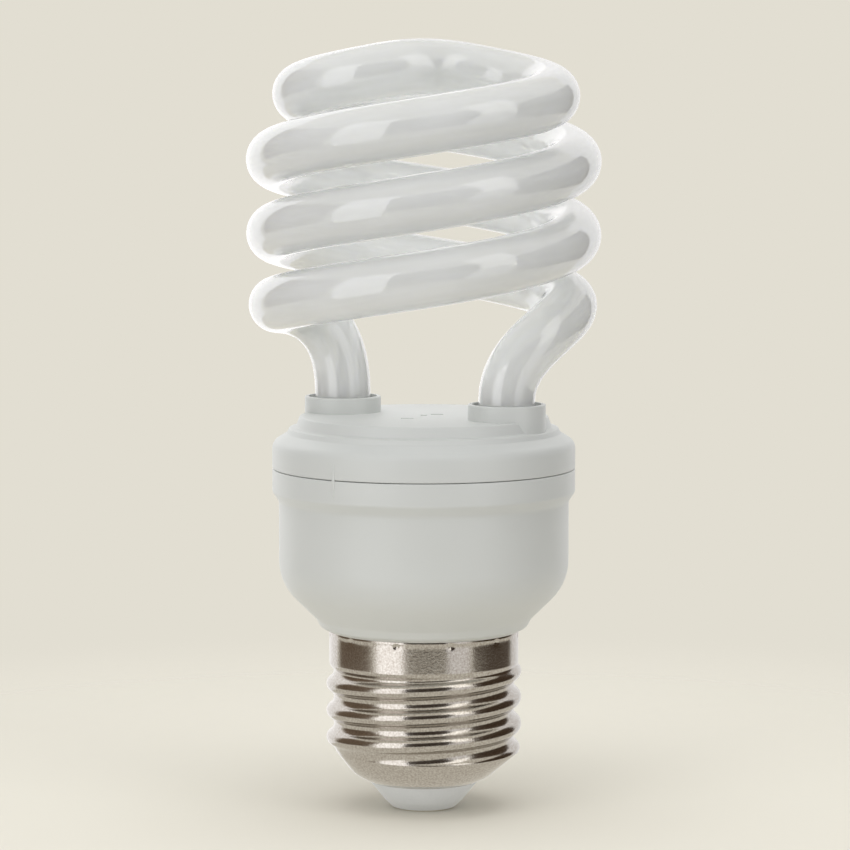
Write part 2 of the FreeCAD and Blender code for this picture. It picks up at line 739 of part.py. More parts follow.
def make_parts():
    parts = {
        "glass_spiral": make_glass_spiral(),
        "leg_cement": make_leg_cement(),
        "tube_cover": make_tube_cover(),
        "housing_cup": make_housing_cup(),
        "screw_cap": make_screw_cap(),
        "cap_insulator": make_cap_insulator(),
        "centre_contact": make_centre_contact(),
        "ballast_board": make_ballast_board(),
        "wrap_pins": make_wrap_pins(),
        "electrode_leads": make_electrode_leads(),
        "phase_lead": make_phase_lead(),
        "neutral_lead": make_neutral_lead(),
        "filter_capacitor": make_filter_capacitor(),
        "resonant_capacitor": film_capacitor(resonant_size, resonant_angle),
        "blocking_capacitor": film_capacitor(blocking_size, blocking_angle),
        "trigger_diac": axial_part(diac_d, diac_l, diac_angle),
        "fuse_resistor": axial_part(fuse_d, fuse_l, fuse_angle),
        "rectifier_diodes": make_rectifier_diodes(),
        "chip_resistors": make_chip_resistors(),
    }
    for name, angle in transistor_angles.items():
        parts[name] = make_transistor(angle)
    parts.update(make_choke())
    parts.update(make_toroid())
    parts.update(make_filter_choke())
    return parts


os.makedirs("parts", exist_ok=True)
for node, shape in make_parts().items():
    shape.exportStep("parts/" + node + ".step")
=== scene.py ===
import bmesh
import bpy
import json
import math
from mathutils import Matrix, Vector


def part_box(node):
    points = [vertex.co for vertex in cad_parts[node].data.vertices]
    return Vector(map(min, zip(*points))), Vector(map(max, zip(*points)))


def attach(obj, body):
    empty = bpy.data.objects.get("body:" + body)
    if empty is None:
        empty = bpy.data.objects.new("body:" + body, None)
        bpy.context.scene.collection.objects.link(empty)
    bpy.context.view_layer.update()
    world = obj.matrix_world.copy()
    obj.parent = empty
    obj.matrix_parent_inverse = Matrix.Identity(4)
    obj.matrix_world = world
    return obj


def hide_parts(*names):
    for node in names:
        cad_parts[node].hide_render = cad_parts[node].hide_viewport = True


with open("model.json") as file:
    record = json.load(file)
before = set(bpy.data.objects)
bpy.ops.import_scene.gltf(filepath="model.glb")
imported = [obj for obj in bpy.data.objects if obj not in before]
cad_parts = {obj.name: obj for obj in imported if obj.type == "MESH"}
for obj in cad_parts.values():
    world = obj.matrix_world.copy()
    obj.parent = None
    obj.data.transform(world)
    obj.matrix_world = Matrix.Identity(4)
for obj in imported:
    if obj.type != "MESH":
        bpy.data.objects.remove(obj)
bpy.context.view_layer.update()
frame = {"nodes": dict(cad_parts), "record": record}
scene = bpy.context.scene
mm = 0.001

# what the pieces share, in mm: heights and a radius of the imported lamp, and two small gaps
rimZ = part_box("screw_cap")[1].z / mm  # cap's upper rim
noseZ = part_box("screw_cap")[0].z / mm  # lower edge of the metal
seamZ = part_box("housing_cup")[1].z / mm  # where cup and cover meet
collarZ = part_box("tube_cover")[1].z / mm  # tops of the leg collars
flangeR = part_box("tube_cover")[1].x / mm  # widest ring of the housing
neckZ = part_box("housing_cup")[0].z / mm  # foot of the cup's neck, inside the cap
seamGap = 0.045  # each shell stops this far from the seam
weldGap = 0.002  # points closer than this become one


def linear(hexCode):
    values = [int(hexCode[i:i + 2], 16) / 255 for i in (1, 3, 5)]
    return [v / 12.92 if v <= 0.04045 else ((v + 0.055) / 1.055) ** 2.4 for v in values] + [1.0]


def addNode(tree, kind, inputs=None, **settings):
    node = tree.nodes.new(kind)
    for name, value in settings.items():
        setattr(node, name, value)
    for socket, value in (inputs or {}).items():
        if isinstance(value, bpy.types.NodeSocket):
            tree.links.new(value, node.inputs[socket])
        else:
            node.inputs[socket].default_value = value
    return node


def newMaterial(name, **sockets):
    material = bpy.data.materials.new(name)
    material.use_nodes = True
    tree = material.node_tree
    shader = tree.nodes["Principled BSDF"]
    for socket, value in sockets.items():
        shader.inputs[socket.replace("_", " ")].default_value = value
    place = addNode(tree, "ShaderNodeTexCoord").outputs["Object"]
    return material, tree, shader, place


# an outline of (r, z, rounding) corners becomes points, with an arc at each rounded corner
def roundCorners(corners, arcSteps=5):
    points = []
    for i, (r, z, rounding) in enumerate(corners):
        here = Vector((r, z))
        if rounding == 0 or i in (0, len(corners) - 1):
            points.append(here)
            continue
        back = (Vector(corners[i - 1][:2]) - here).normalized()
        ahead = (Vector(corners[i + 1][:2]) - here).normalized()
        half = back.angle(ahead) / 2
        reach = rounding / math.tan(half)  # corner to the arc's ends
        middle = here + (back + ahead).normalized() * (rounding / math.sin(half))
        start = here + back * reach - middle
        sweep = start.angle_signed(here + ahead * reach - middle)
        for step in range(arcSteps + 1):
            turn = Matrix.Rotation(-sweep * step / arcSteps, 2)
            points.append(middle + turn @ start)
    return points


def turnOutline(bm, points, steps):
    verts = [bm.verts.new((p[0] * mm, 0, p[1] * mm)) for p in points]
    edges = [bm.edges.new(pair) for pair in zip(verts, verts[1:])]
    bmesh.ops.spin(bm, geom=verts + edges, cent=(0, 0, 0), axis=(0, 0, 1), angle=2 * math.pi,
                   steps=steps, use_merge=True)
    bmesh.ops.remove_doubles(bm, verts=bm.verts, dist=weldGap * mm)
    bmesh.ops.recalc_face_normals(bm, faces=bm.faces)


def asObject(bm, name):
    mesh = bpy.data.meshes.new(name)
    bm.to_mesh(mesh)
    bm.free()
    thing = bpy.data.objects.new(name, mesh)
    scene.collection.objects.link(thing)
    return thing


def makePiece(bm, name, slot, nodes, sharpAngle):
    for face in bm.faces:
        face.smooth = True
    for edge in bm.edges:
        edge.smooth = edge.calc_face_angle(0) < math.radians(sharpAngle)
    piece = asObject(bm, name)
    piece.data.materials.append(materials[slot])
    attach(piece, "root")
    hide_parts(*nodes)
    print("piece:", name, len(piece.data.polygons), "faces")
    return piece


# lime glass, drawn: a clear glossy wall over a white powder coat, so pale grey-white under sharp reflections
glass = {"coat": "#DFE0E0", "thin": "#D8D9D8", "roughness": 0.05, "overRoughness": 0.01, "ior": 1.52,
         "scatter": 8.0, "scatterTint": (1.0, 1.0, 0.93), "clouds": 9.0, "coatRange": (0.12, 0.4),
         "tubeLength": 460.8, "tubeGirth": 23.56, "streak": (16.0, 1.636)}  # streaks run along the drawn tube


def limeGlass():
    g = glass
    material, tree, shader, place = newMaterial(
        "coated lime glass", Roughness=g["roughness"], IOR=g["ior"], Coat_Weight=1.0,
        Coat_Roughness=g["overRoughness"], Coat_IOR=g["ior"], Subsurface_Weight=1.0,
        Subsurface_Radius=g["scatterTint"], Subsurface_Scale=g["scatter"] * mm)
    uv = addNode(tree, "ShaderNodeTexCoord").outputs["UV"]  # 0 to 1 along the tube and round it
    cloud = addNode(tree, "ShaderNodeTexNoise", {
        "Vector": place, "Scale": 1 / (g["clouds"] * mm), "Detail": 3.0})
    along = addNode(tree, "ShaderNodeMapping", {
        "Vector": uv, "Scale": (g["tubeLength"] / g["streak"][0], g["tubeGirth"] / g["streak"][1], 1.0)})
    flow = addNode(tree, "ShaderNodeTexNoise", {
        "Vector": along.outputs["Vector"], "Scale": 1.0, "Detail": 2.0})
    uneven = addNode(tree, "ShaderNodeMath", {0: cloud.outputs["Fac"], 1: flow.outputs["Fac"]},
                     operation="MULTIPLY")
    tone = addNode(tree, "ShaderNodeMapRange", {
        "Value": uneven.outputs[0], "From Min": g["coatRange"][0], "From Max": g["coatRange"][1]})
    colour = addNode(tree, "ShaderNodeMix", {
        "Factor": tone.outputs[0], "A": linear(g["thin"]), "B": linear(g["coat"])}, data_type="RGBA")
    tree.links.new(colour.outputs["Result"], shader.inputs["Base Color"])
    return material


# PBT, moulded in a spark-eroded tool: off-white and satin, with a grain drawn coarser than it is, to show
moulding = {"body": "#DADCDA", "shade": "#D4D6D3", "roughness": (0.36, 0.5), "ior": 1.55, "clouds": 14.0,
            "grain": 0.35, "grainDeep": 0.05, "grainShare": 0.12}


def mouldedPbt():
    m = moulding
    material, tree, shader, place = newMaterial("moulded PBT", IOR=m["ior"])
    cloud = addNode(tree, "ShaderNodeTexNoise", {
        "Vector": place, "Scale": 1 / (m["clouds"] * mm), "Detail": 2.0})
    colour = addNode(tree, "ShaderNodeMix", {
        "Factor": cloud.outputs["Fac"], "A": linear(m["shade"]), "B": linear(m["body"])}, data_type="RGBA")
    grain = addNode(tree, "ShaderNodeTexNoise", {
        "Vector": place, "Scale": 1 / (m["grain"] * mm), "Detail": 2.0})
    rough = addNode(tree, "ShaderNodeMapRange", {
        "Value": grain.outputs["Fac"], "To Min": m["roughness"][0], "To Max": m["roughness"][1]})
    bump = addNode(tree, "ShaderNodeBump", {
        "Height": grain.outputs["Fac"], "Strength": m["grainShare"], "Distance": m["grainDeep"] * mm})
    tree.links.new(colour.outputs["Result"], shader.inputs["Base Color"])
    tree.links.new(rough.outputs[0], shader.inputs["Roughness"])
    tree.links.new(bump.outputs[0], shader.inputs["Normal"])
    return material


# nickel plate on pressed brass: a warm mirror with an orange peel, drawn coarser than it is, to show
nickel = {"plate": "#CBC7C1", "worn": "#ADA59D", "roughness": (0.13, 0.22), "clouds": 5.0,
          "peel": 0.26, "peelDeep": 0.04, "peelShare": 0.22, "peelTones": (0.3, 0.7)}


def nickelPlate():
    n = nickel
    material, tree, shader, place = newMaterial("nickel plate", Metallic=1.0)
    cloud = addNode(tree, "ShaderNodeTexNoise", {
        "Vector": place, "Scale": 1 / (n["clouds"] * mm), "Detail": 4.0})
    peel = addNode(tree, "ShaderNodeTexNoise", {
        "Vector": place, "Scale": 1 / (n["peel"] * mm), "Detail": 3.0})
    tone = addNode(tree, "ShaderNodeMapRange", {
        "Value": peel.outputs["Fac"], "From Min": n["peelTones"][0], "From Max": n["peelTones"][1]})
    colour = addNode(tree, "ShaderNodeMix", {
        "Factor": tone.outputs[0], "A": linear(n["worn"]), "B": linear(n["plate"])}, data_type="RGBA")
    rough = addNode(tree, "ShaderNodeMapRange", {
        "Value": cloud.outputs["Fac"], "To Min": n["roughness"][0], "To Max": n["roughness"][1]})
    bump = addNode(tree, "ShaderNodeBump", {
        "Height": peel.outputs["Fac"], "Strength": n["peelShare"], "Distance": n["peelDeep"] * mm})
    tree.links.new(colour.outputs["Result"], shader.inputs["Base Color"])
    tree.links.new(rough.outputs[0], shader.inputs["Roughness"])
    tree.links.new(bump.outputs[0], shader.inputs["Normal"])
    return material


# small finishes: name, light and dark tone that clouds mix, roughness, metallic, and size of the clouds in mm
finishes = {
    "tip_moulding": ("moulded urea", "#E9ECEF", "#E1E4E8", 0.4, 0.0, 0.4),  # cool white, soft sheen
    "cement": ("lamp cement", "#B9B7AC", "#8F8D84", 0.9, 0.0, 0.35),  # grey and gritty
    "tinned_brass": ("tinned brass", "#C9C2B4", "#B3A994", 0.3, 1.0, 0.5),  # dull silver, yellow where worn
    "board_laminate": ("phenolic laminate", "#A98448", "#8F6C38", 0.6, 0.0, 0.8),  # brown pressed paper
    "bare_wire": ("tinned wire", "#CFCCC6", "#B8B4AD", 0.28, 1.0, 0.4),  # bright silver
    "red_lead": ("red PVC", "#A82320", "#8E1B19", 0.4, 0.0, 0.6),  # waxy red
    "black_lead": ("black PVC", "#232323", "#1A1A1A", 0.4, 0.0, 0.6),  # waxy black
    "capacitor_sleeve": ("shrink sleeve", "#22262F", "#191C24", 0.3, 0.0, 1.5),  # tight, blue-black
    "film_epoxy": ("dipped epoxy", "#93401F", "#7E3318", 0.25, 0.0, 1.2),  # glossy red-brown
    "black_epoxy": ("moulded epoxy", "#262626", "#1B1B1B", 0.6, 0.0, 0.4),  # matt black
    "ceramic_chip": ("glazed ceramic", "#2B2B2E", "#202023", 0.3, 0.0, 0.4),  # smooth black
    "glass_bead": ("tinted glass", "#4F5C78", "#3F4A63", 0.12, 0.0, 0.8),  # glossy blue-grey
    "fuse_sleeve": ("woven glass sleeve", "#DAD7CE", "#C7C3B8", 0.85, 0.0, 0.35),  # chalky off-white
    "ferrite": ("sintered ferrite", "#4A4A4C", "#3C3C3E", 0.7, 0.0, 0.3),  # dull dark grey
    "bobbin_moulding": ("moulded phenolic", "#2C2C2B", "#222221", 0.5, 0.0, 0.5),  # satin, nearly black
    "copper_winding": ("enamelled copper", "#B4642F", "#8F4A20", 0.3, 1.0, 0.3),  # orange-brown gleam
}
finishBump = {"share": 0.2, "deep": 0.03}  # strength, and depth in mm


def smallFinish(name, light, dark, roughness, metallic, grain):
    material, tree, shader, place = newMaterial(name, Roughness=roughness, Metallic=metallic)
    cloud = addNode(tree, "ShaderNodeTexNoise", {"Vector": place, "Scale": 1 / (grain * mm), "Detail": 3.0})
    colour = addNode(tree, "ShaderNodeMix", {
        "Factor": cloud.outputs["Fac"], "A": linear(dark), "B": linear(light)}, data_type="RGBA")
    bump = addNode(tree, "ShaderNodeBump", {
        "Height": cloud.outputs["Fac"], "Strength": finishBump["share"], "Distance": finishBump["deep"] * mm})
    tree.links.new(colour.outputs["Result"], shader.inputs["Base Color"])
    tree.links.new(bump.outputs[0], shader.inputs["Normal"])
    return material


materials = {slot: smallFinish(*finish) for slot, finish in finishes.items()}
materials["coated_glass"] = limeGlass()
materials["white_moulding"] = mouldedPbt()
materials["nickel_shell"] = nickelPlate()
for part in frame["record"]["subparts"]:
    node = frame["nodes"][part["node"]]
    node.data.materials.clear()
    node.data.materials.append(materials[part["material_slot"]])
print("materials:", len(materials))

# the tube: two strands of one double helix, from the sealed foot of one leg over the crown to the other
tube = {"d": 7.5, "spiralR": 19.85, "pitch": 19.6, "helixZ": 67.4, "legR": 12.58, "legAngle": -29.5,
        "sealZ": 45.6, "legEndZ": 50.2, "legZs": (52.0, 54.0), "bendZ": 55.65, "leastShare": 0.06,
        "legPulls": (7.8, 14.3), "helixPull": 11.5, "bendAngle": 20.0, "taperAngle": 496.0,
        "crownAngle": 573.0, "crownClimb": 1.22, "levelRun": 6.6, "footSteps": 8, "bendSteps": 24,
        "helixSteps": 150, "crownSteps": 50, "rings": 14, "sharp": 60}
legTurn = math.radians(tube["legAngle"])
legPlace = Vector((math.cos(legTurn), math.sin(legTurn), 0)) * tube["legR"]


def helixPoint(angle):
    turn = math.radians(angle)
    z = tube["helixZ"] + tube["pitch"] * angle / 360
    return Vector((tube["spiralR"] * math.cos(turn), tube["spiralR"] * math.sin(turn), z))


def bendPoint(share, legPull):
    turn = math.radians(tube["bendAngle"])
    foot = legPlace + Vector((0, 0, tube["bendZ"]))
    end = helixPoint(tube["bendAngle"])
    climb = tube["pitch"] / (2 * math.pi)
    heading = Vector((-tube["spiralR"] * math.sin(turn), tube["spiralR"] * math.cos(turn), climb))
    heading.normalize()
    pulls = [foot, foot + Vector((0, 0, legPull)), end - heading * tube["helixPull"], end]
    weights = [(1 - share) ** 3, 3 * share * (1 - share) ** 2, 3 * share ** 2 * (1 - share), share ** 3]
    return sum((p * w for p, w in zip(pulls, weights)), Vector())


def crownLine(steps):
    plan = []
    for step in range(steps + 1):
        share = step / steps
        turn = math.radians(tube["taperAngle"] + (tube["crownAngle"] - tube["taperAngle"]) * share)
        radius = tube["spiralR"] * math.cos(math.pi / 2 * share)
        plan.append(Vector((radius * math.cos(turn), radius * math.sin(turn), 0)))
    lengths = [0.0]
    for here, ahead in zip(plan, plan[1:]):
        lengths.append(lengths[-1] + (ahead - here).length)
    slope = tube["crownClimb"] * tube["pitch"] / (2 * math.pi * tube["spiralR"])
    footZ = helixPoint(tube["taperAngle"]).z
    line = []
    for place, length in zip(plan, lengths):
        past = max(0.0, length - lengths[-1] + tube["levelRun"])  # levels out where the strands meet
        line.append(place + Vector((0, 0, footZ + slope * (length - past ** 2 / (2 * tube["levelRun"])))))
    return line


def strandLine(legPull):
    t = tube
    foot = [t["sealZ"] + (t["legEndZ"] - t["sealZ"]) * i / t["footSteps"] for i in range(t["footSteps"])]
    line = [legPlace + Vector((0, 0, z)) for z in (*foot, t["legEndZ"], *t["legZs"])]
    line += [bendPoint(i / t["bendSteps"], legPull) for i in range(t["bendSteps"])]
    span = t["taperAngle"] - t["bendAngle"]
    line += [helixPoint(t["bendAngle"] + span * i / t["helixSteps"]) for i in range(t["helixSteps"])]
    return line + crownLine(t["crownSteps"])


def glassSpiral():
    first, second = (strandLine(pull) for pull in tube["legPulls"])
    line = first + [Vector((-p.x, -p.y, p.z)) for p in second[-2::-1]]
    curve = bpy.data.curves.new("tubeLine", "CURVE")
    curve.dimensions = "3D"
    curve.bevel_depth = tube["d"] / 2 * mm
    curve.bevel_resolution = tube["rings"]
    curve.use_fill_caps = True
    spline = curve.splines.new("POLY")
    spline.points.add(len(line) - 1)
    for point, place in zip(spline.points, line):
        point.co = (*(place * mm), 1)
        up = min(1.0, (place.z - tube["sealZ"]) / (tube["legEndZ"] - tube["sealZ"]))
        point.radius = math.sqrt(max(tube["leastShare"], 1 - (1 - up) ** 2))  # rounded, sealed foot
    drawn = bpy.data.objects.new("tubeLine", curve)
    scene.collection.objects.link(drawn)
    mesh = bpy.data.meshes.new_from_object(drawn.evaluated_get(bpy.context.evaluated_depsgraph_get()))
    bpy.data.objects.remove(drawn)
    bm = bmesh.new()
    bm.from_mesh(mesh)
    bmesh.ops.recalc_face_normals(bm, faces=bm.faces)
    return makePiece(bm, "glassSpiral", "coated_glass", ["glass_spiral"], tube["sharp"])


spiral = glassSpiral()

# the cover: a turned shell with a stepped plateau, two collars and their bores
cover = {"skirtR": 18.76, "boreR": 17.46, "skirtZ": 43.2, "rimH": 3.5, "rimRound": 1.5, "seamRound": 0.15,
         "plateauZ": 52.95, "plateauR": 16.6, "plateauRound": 0.3, "topT": 1.6, "innerBevel": 1.6,
         "riserW": 0.5, "riserH": 1.45, "riserRound": 0.25, "ledgeW": 0.9, "ledgeFall": 0.15,
         "ledgeRound": 0.15, "stepW": 0.3, "stepH": 0.65, "stepRound": 0.3, "collarR": 5.15,
         "collarBoreR": 4.6, "collarRound": 0.16, "gateR": 0.45, "gateH": 0.12, "gateRound": 0.05,
         "markW": 1.7, "markD": 0.5, "markH": 0.1, "markBevel": 0.06, "marks": ((-2.2, -4.6), (1.75, 1.2)),
         "over": 1.0, "boreUnder": 2.0, "steps": 160, "collarSteps": 96, "sharp": 32}


def combine(base, tool, operation):
    change = base.modifiers.new("change", "BOOLEAN")
    change.object = tool
    change.operation = operation
    change.solver = "EXACT"
    mesh = bpy.data.meshes.new_from_object(base.evaluated_get(bpy.context.evaluated_depsgraph_get()))
    base.modifiers.clear()
    base.data = mesh
    bpy.data.objects.remove(tool)


def turnedTool(corners, steps, place=Vector()):
    bm = bmesh.new()
    turnOutline(bm, roundCorners(corners), steps)
    bmesh.ops.translate(bm, verts=bm.verts, vec=place * mm)
    return asObject(bm, "tool")


def tubeCover():
    c = cover
    top = c["plateauZ"]
    underZ = top - c["topT"]
    rimTop = seamZ + c["rimH"]
    lowZ = seamZ + seamGap
    riser = (c["plateauR"] + c["riserW"], top - c["riserH"])
    ledge = (riser[0] + c["ledgeW"], riser[1] - c["ledgeFall"])
    step = (ledge[0] + c["stepW"], ledge[1] - c["stepH"])
    shell = turnedTool([
        (0, top + c["gateH"], 0), (c["gateR"], top + c["gateH"], c["gateRound"]), (c["gateR"], top, 0),
        (c["plateauR"], top, c["plateauRound"]), (*riser, c["riserRound"]), (*ledge, c["ledgeRound"]),
        (*step, c["stepRound"]), (flangeR, rimTop, c["rimRound"]), (flangeR, lowZ, c["seamRound"]),
        (c["skirtR"], lowZ, 0), (c["skirtR"], c["skirtZ"], 0), (0, c["skirtZ"], 0)], c["steps"])
    post = [(0, rimTop, 0), (c["collarR"], rimTop, 0), (c["collarR"], collarZ, c["collarRound"]),
            (0, collarZ, 0)]
    for place in (legPlace, -legPlace):
        combine(shell, turnedTool(post, c["collarSteps"], place), "UNION")
    roomZ = c["skirtZ"] - c["over"]  # tools start and end clear of what they cut
    room = [(0, roomZ, 0), (c["boreR"], roomZ, 0), (c["boreR"], underZ - c["innerBevel"], 0),
            (c["boreR"] - c["innerBevel"], underZ, 0), (0, underZ, 0)]
    combine(shell, turnedTool(room, c["steps"]), "DIFFERENCE")
    boreLow = underZ - c["boreUnder"]
    boreTop = collarZ + c["over"]
    bore = [(0, boreLow, 0), (c["collarBoreR"], boreLow, 0), (c["collarBoreR"], boreTop, 0), (0, boreTop, 0)]
    for place in (legPlace, -legPlace):
        combine(shell, turnedTool(bore, c["collarSteps"], place), "DIFFERENCE")
    bm = bmesh.new()
    bm.from_mesh(shell.data)
    bpy.data.objects.remove(shell)
    for x, y in c["marks"]:  # two low tool marks beside the gate
        mark = bmesh.ops.create_cube(bm, size=1, matrix=Matrix.LocRotScale(
            Vector((x, y, top)) * mm, None, Vector((c["markW"], c["markD"], c["markH"] * 2)) * mm))
        edges = list({e for v in mark["verts"] for e in v.link_edges})
        bmesh.ops.bevel(bm, geom=edges, offset=c["markBevel"] * mm, affect="EDGES", segments=2,
                        profile=0.5, material=-1)
    makePiece(bm, "tubeCover", "white_moulding", ["tube_cover"], c["sharp"])


tubeCover()

# the cup: flange, bowl, lip and neck in one moulding
cup = {"bowlR": 19.4, "slope": 45.5, "bend": 7.1, "wall": 1.4, "flangeH": 3.1, "flangeRound": 0.8,
       "seamRound": 0.2, "bevelH": 1.3, "bevelRound": 1.2, "ledgeZ": 42.0, "lipR": 14.5, "lipH": 1.6,
       "lipRound": 1.6, "lipEdge": (0.6, 1.1), "lipEdgeRound": 0.9, "lipFootR": 12.9, "lipFootRound": 0.12,
       "neckR": 12.1, "neckBoreR": 10.9, "tickAngle": -125.4, "tick": (0.5, 0.24, 4.4),
       "arcSteps": 7, "steps": 192, "sharp": 40}


def housingCup():
    c = cup
    slope = math.tan(math.radians(c["slope"]))
    lipZ = rimZ + c["lipH"]
    cornerZ = lipZ + (c["bowlR"] - c["lipR"]) / slope  # where the flank would meet the upright wall
    bevelZ = seamZ - c["flangeH"]
    innerR = c["bowlR"] - c["wall"]
    rise = c["wall"] / math.sin(math.radians(c["slope"]))
    mouthR = flangeR - c["wall"]
    topZ = seamZ - seamGap
    outline = [
        (c["neckBoreR"], neckZ, 0), (c["neckR"], neckZ, 0), (c["neckR"], rimZ, 0),
        (c["lipFootR"], rimZ, c["lipFootRound"]),
        (c["lipR"] - c["lipEdge"][0], lipZ - c["lipEdge"][1], c["lipEdgeRound"]),
        (c["lipR"], lipZ, c["lipRound"]), (c["bowlR"], cornerZ, c["bend"]),
        (c["bowlR"], bevelZ - c["bevelH"], c["bevelRound"]), (flangeR, bevelZ, c["flangeRound"]),
        (flangeR, topZ, c["seamRound"]), (mouthR, topZ, 0), (mouthR, c["ledgeZ"], 0),
        (innerR, c["ledgeZ"], 0), (innerR, lipZ + (innerR - c["lipR"]) / slope + rise, 0),
        (c["neckBoreR"], lipZ + (c["neckBoreR"] - c["lipR"]) / slope + rise, 0), (c["neckBoreR"], neckZ, 0)]
    bm = bmesh.new()
    turnOutline(bm, roundCorners(outline, c["arcSteps"]), c["steps"])
    turn = Matrix.Rotation(math.radians(c["tickAngle"]), 4, "Z")
    spot = turn @ Vector((flangeR * mm, 0, topZ * mm))
    wide, proud, tall = (size / 2 * mm for size in c["tick"])
    tick = Matrix.Translation(spot) @ turn @ Matrix.Diagonal((proud, wide, tall, 1))
    bmesh.ops.create_uvsphere(bm, u_segments=24, v_segments=16, radius=1, matrix=tick)  # line across the seam
    makePiece(bm, "housingCup", "white_moulding", ["housing_cup"], c["sharp"])


housingCup()

# the cap: a pressed shell whose wall winds in and out as a right-hand knuckle thread
cap = {"tipR": 7.4, "edgeUp": 0.4, "noseTurn": (9.2, 0.8, 6.0), "noseSteps": 12, "noseInset": 0.3,
       "noseRun": 1.2, "crestR": 13.1, "rootR": 12.1, "pitch": 3.629, "threadZ": 7.7, "threadTopZ": 19.9,
       "firstCrest": 0.05, "fadeIn": 2.0, "fadeOut": 1.3, "skirtR": 12.7, "skirtRun": 1.0, "wall": 0.5,
       "row": 0.14, "flareH": 0.9, "flare": 0.12, "rimDrop": 0.25, "rimEdge": ((0.08, 0.05), (0.2, 0.0)),
       "stakes": 11, "stakeDrop": 0.65, "stakeR": 0.36, "stakeDepth": 0.18, "stakeFall": 1.6,
       "steps": 440, "sharp": 50}


def threadThrow(z, angle):
    c = cap
    fade = min(1.0, (z - c["threadZ"] + c["fadeIn"]) / c["fadeIn"], (c["threadTopZ"] - z) / c["fadeOut"])
    if fade <= 0:
        return 0.0
    high = (c["crestR"] - c["rootR"]) / 2
    quarter = c["pitch"] / 4
    arcR = (quarter ** 2 + high ** 2) / (2 * high)  # equal arcs at crest and root, as on a knuckle thread
    turns = (z - c["threadZ"] - c["firstCrest"]) / c["pitch"] - angle / (2 * math.pi)
    off = abs(turns - round(turns)) * c["pitch"]  # from the nearest crest
    near = off if off < quarter else 2 * quarter - off
    wave = high - arcR + math.sqrt(arcR ** 2 - near ** 2)
    return (wave if off < quarter else -wave) * (1 - math.cos(math.pi * fade)) / 2


def stakeDent(z, angle):
    c = cap
    step = 2 * math.pi / c["stakes"]
    off = (angle + math.pi / 2) / step - 0.5  # the front lies midway between two stakes
    across = (off - round(off)) * step * c["skirtR"]
    up = z - (rimZ - c["stakeDrop"])
    return c["stakeDepth"] * math.exp(-(across ** 2 + up ** 2) / (2 * (c["stakeR"] / c["stakeFall"]) ** 2))


def screwCap():
    c = cap
    meanR = (c["crestR"] + c["rootR"]) / 2
    noseR, noseUp, noseRound = c["noseTurn"]
    nose = roundCorners([(c["tipR"], noseZ, 0), (noseR, noseZ + noseUp, noseRound),
                         (meanR - c["noseInset"], c["threadZ"], 0)], c["noseSteps"])
    wallH = rimZ - c["rimDrop"] - c["threadZ"]
    rows = int(wallH / c["row"])
    wall = []
    for i in range(1, rows + 1):
        z = c["threadZ"] + wallH * i / rows
        ease = min(1.0, max(0.0, (z - c["threadTopZ"] + c["skirtRun"]) / c["skirtRun"]))
        low = min(1.0, (z - c["threadZ"]) / c["noseRun"])
        flare = c["flare"] * max(0.0, 1 - (rimZ - z) / c["flareH"]) ** 2  # rim opens slightly
        inset = c["noseInset"] * (1 - low) ** 2
        wall.append(Vector((meanR - inset + (c["skirtR"] - meanR) * ease + flare, z)))
    edge = Vector((c["tipR"], noseZ + c["edgeUp"]))
    outside = [edge] + nose + wall
    rimR = c["skirtR"] + c["flare"]
    rim = [Vector((rimR - inward, rimZ - down)) for inward, down in c["rimEdge"]]
    hidden = reversed(outside[2::3])  # the inner side needs fewer rows
    inside = [Vector((p.x - c["wall"], max(p.y, noseZ + c["wall"]))) for p in hidden]
    bm = bmesh.new()
    turnOutline(bm, outside + rim + inside + [edge], c["steps"])
    for v in bm.verts:
        r = math.hypot(v.co.x, v.co.y) / mm
        z = v.co.z / mm
        angle = math.atan2(v.co.y, v.co.x)
        moved = r + threadThrow(z, angle) - stakeDent(z, angle)
        v.co.x *= moved / r
        v.co.y *= moved / r
    makePiece(bm, "screwCap", "nickel_shell", ["screw_cap"], c["sharp"])


screwCap()

# the pale tip below the metal
tip = {"edgeR": 7.4, "edgeH": 0.5, "shoulder": (0.5, 1.0), "turn": (5.3, 1.1, 2.6), "landR": 4.3,
       "landRound": 0.1, "contactR": 4.0, "proud": 0.15, "contactT": 0.5, "plugZ": 7.9, "plugR": 9.4,
       "boreR": 0.7, "arcSteps": 8, "steps": 128, "sharp": 40}


def capInsulator():
    t = tip
    outline = [
        (t["boreR"], t["contactT"], 0), (t["contactR"], t["contactT"], 0), (t["contactR"], t["proud"], 0),
        (t["landR"], t["proud"], t["landRound"]), t["turn"], (t["edgeR"], noseZ, 0),
        (t["edgeR"], noseZ + t["edgeH"], 0), (t["edgeR"] + t["shoulder"][0], noseZ + t["shoulder"][1], 0),
        (t["plugR"], t["plugZ"], 0), (t["boreR"], t["plugZ"], 0), (t["boreR"], t["contactT"], 0)]
    bm = bmesh.new()
    turnOutline(bm, roundCorners(outline, t["arcSteps"]), t["steps"])
    makePiece(bm, "capInsulator", "tip_moulding", ["cap_insulator"], t["sharp"])


capInsulator()

